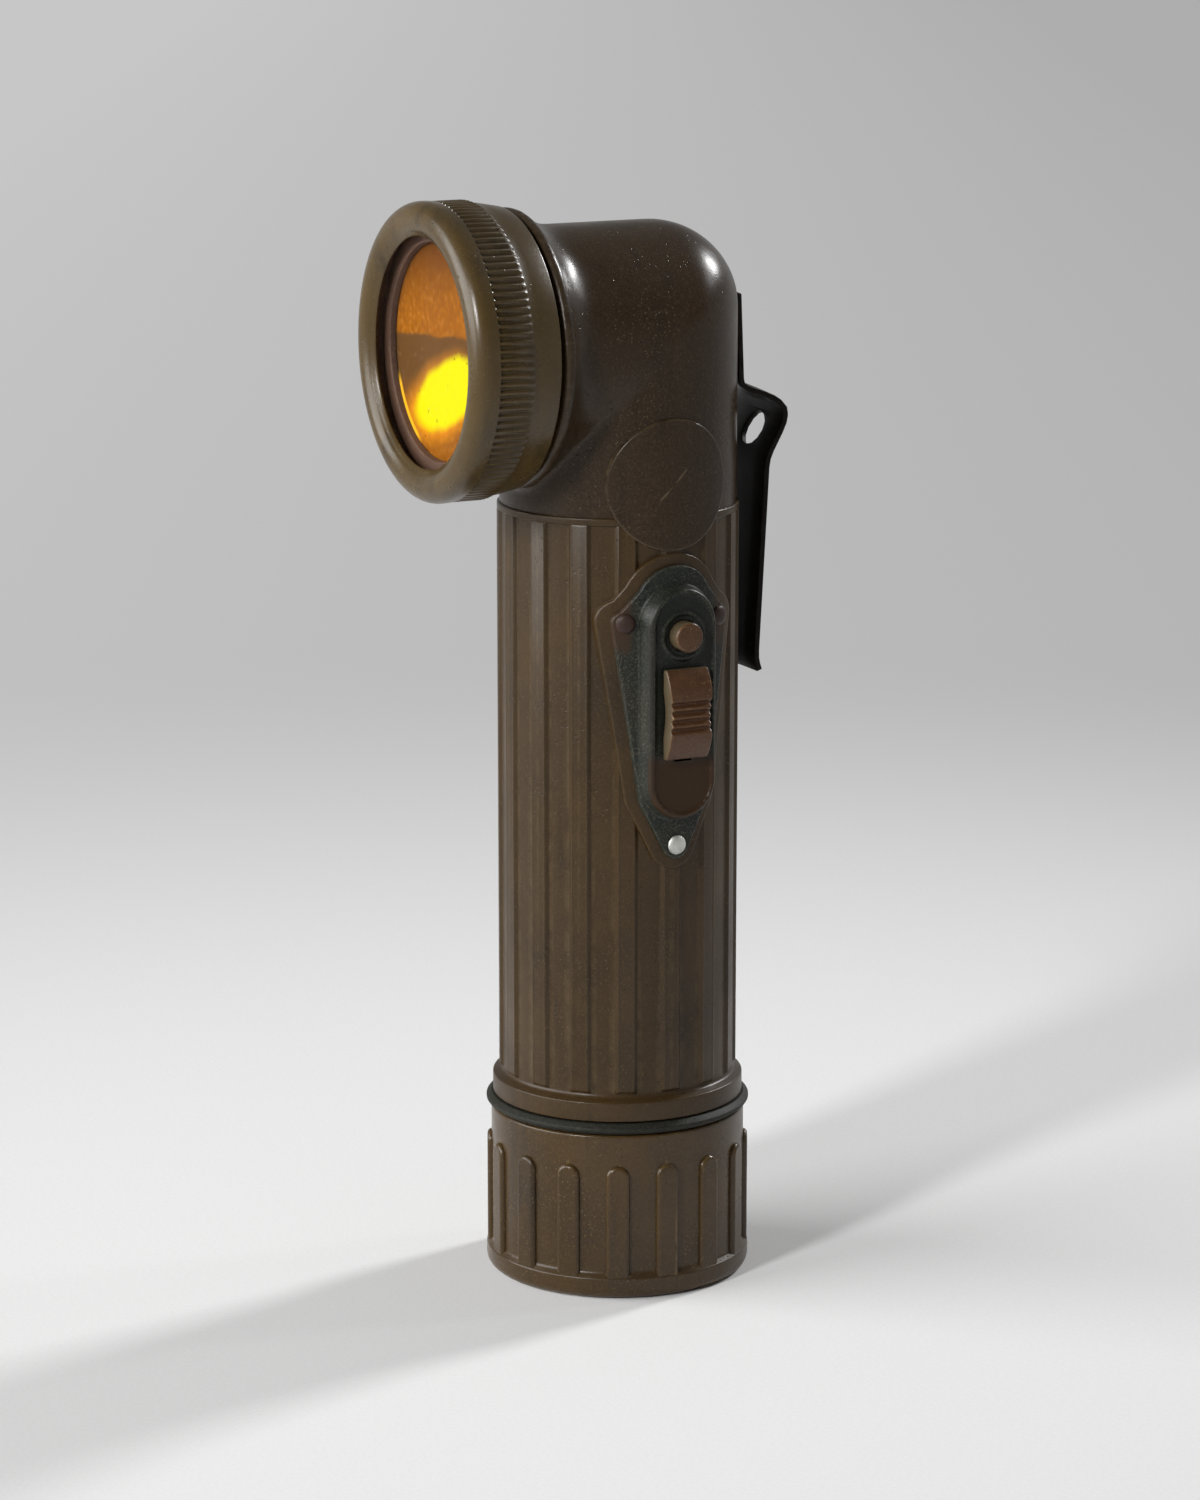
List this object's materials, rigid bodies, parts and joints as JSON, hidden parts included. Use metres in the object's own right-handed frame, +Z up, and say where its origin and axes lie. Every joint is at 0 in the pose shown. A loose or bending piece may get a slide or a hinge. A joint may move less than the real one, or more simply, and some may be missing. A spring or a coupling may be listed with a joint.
{
  "type": "right-angle flashlight",
  "caption": "Right-angle hand flashlight with a ribbed barrel, screwed lens ring, slide and push switch, belt clip and screwed end cap.",
  "frame": {"origin": "centre of the end cap's flat foot, on the barrel's axis", "axes": "+Z up along the barrel, -Y out of the lens, +X out of the switch, +Y towards the belt clip"},
  "size_m": [0.0525, 0.0658, 0.1865],
  "materials": {
    "body_plastic": "aged olive-brown moulding, semi-gloss, worn bright on the edges",
    "cap_plastic": "aged olive-brown moulding, semi-gloss, a little lighter than the barrel",
    "bezel_plastic": "olive moulding, semi-gloss, dirt in the knurl",
    "rubber": "dark green-black rubber",
    "green_black_steel": "pressed steel in dark green-black enamel, worn",
    "black_steel": "spring steel, black finish",
    "knob_plastic": "red-brown moulding",
    "brown_rivet": "brown-painted rivet",
    "bare_aluminium": "bare aluminium rivet",
    "silvered_metal": "polished and silvered bowl",
    "brass": "bare brass",
    "spring_steel": "bare spring wire",
    "phenolic": "dark brown phenolic moulding",
    "fibre": "vulcanised fibre",
    "amber_glass": "amber disc",
    "clear_glass": "clear, scuffed",
    "zinc": "plain dull grey can"
  },
  "bodies": {
    "case_body": {"case": "body_plastic", "switch_plate": "green_black_steel", "plate_rivet_left": "brown_rivet", "plate_rivet_right": "brown_rivet", "plate_rivet_lower": "bare_aluminium", "belt_clip": "black_steel", "clip_rivet_upper": "black_steel", "clip_rivet_lower": "black_steel", "switch_base": "fibre", "terminal_lower": "brass", "terminal_upper": "brass", "eyelet_lower": "brass", "eyelet_upper": "brass", "mouth_strip": "brass", "lamp_strip": "brass", "centre_contact": "brass", "lamp_holder": "phenolic", "lamp_shell": "brass", "cell_lower_can": "zinc", "cell_lower_terminal": "brass", "cell_upper_can": "zinc", "cell_upper_terminal": "brass"},
    "slide_switch": {"slide_knob": "knob_plastic", "slide_shoe": "brass", "slide_blade": "brass"},
    "button": {"push_button": "knob_plastic", "button_blade": "brass"},
    "lens_pack": {"reflector": "silvered_metal", "lamp_base": "brass", "lamp_bulb": "clear_glass", "filter": "amber_glass", "spacer_ring": "fibre", "lens": "clear_glass"},
    "bezel_ring": {"bezel": "bezel_plastic"},
    "gasket_ring": {"gasket": "rubber"},
    "cap": {"end_cap": "cap_plastic", "contact_cup": "brass", "cap_rivet": "brass", "cap_spring": "spring_steel"}
  },
  "joints": [
    {"name": "switch_slide", "type": "slide", "parent": "case_body", "child": "slide_switch", "axis": [0, 0, -1], "range_m": [0, 0.006]},
    {"name": "button_press", "type": "slide", "parent": "case_body", "child": "button", "axis": [-1, 0, 0], "range_m": [0, 0.0014], "stiffness_N_per_m": 500, "springref_m": -0.0005},
    {"name": "bezel_travel", "type": "slide", "parent": "case_body", "child": "lens_pack", "axis": [0, -1, 0], "range_m": [0, 0.0075]},
    {"name": "bezel_turn", "type": "hinge", "parent": "lens_pack", "child": "bezel_ring", "pos_m": [0, 0, 0.1616], "axis": [0, -1, 0], "range_deg": [0, 1080]},
    {"name": "cap_travel", "type": "slide", "parent": "case_body", "child": "gasket_ring", "axis": [0, 0, -1], "range_m": [0, 0.0075]},
    {"name": "cap_turn", "type": "hinge", "parent": "gasket_ring", "child": "cap", "pos_m": [0, 0, 0], "axis": [0, 0, -1], "range_deg": [0, 1080]}
  ],
  "couplings": [
    {"joint": "bezel_travel", "follows": "bezel_turn", "m_per_rad": 0.00039789},
    {"joint": "cap_travel", "follows": "cap_turn", "m_per_rad": 0.00039789}
  ]
}
